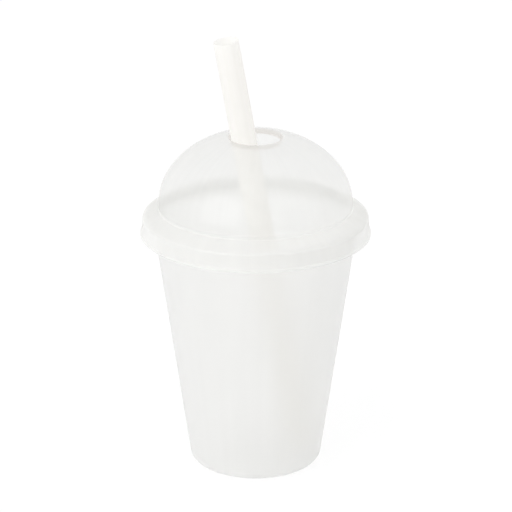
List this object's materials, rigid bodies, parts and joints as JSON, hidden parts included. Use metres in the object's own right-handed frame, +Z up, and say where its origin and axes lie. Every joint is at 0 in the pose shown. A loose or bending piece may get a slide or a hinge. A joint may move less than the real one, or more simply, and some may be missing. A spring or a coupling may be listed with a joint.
{
  "type": "plastic cup with lid",
  "caption": "Tapered frosted plastic cup with a rolled rim, a clear dome lid with a straw hole, and a wide straw leaning in it.",
  "frame": {"origin": "centre of the cup's foot ring, on the table", "axes": "+Z up along the cup's axis; the straw leans towards -X and a little towards -Y"},
  "size_m": [0.099, 0.099, 0.1918],
  "materials": {
    "cup_plastic": "frosted translucent thermoformed polypropylene",
    "lid_plastic": "clear, faintly milky thermoformed polypropylene",
    "straw_plastic": "cream-white extruded polypropylene, satin"
  },
  "bodies": {
    "cup": {"cup": "cup_plastic"},
    "lid": {"lid": "lid_plastic", "straw": "straw_plastic"}
  },
  "joints": [
    {"name": "lid_lift", "type": "slide", "parent": "cup", "child": "lid", "axis": [0, 0, 1], "range_m": [0, 0.125]}
  ]
}
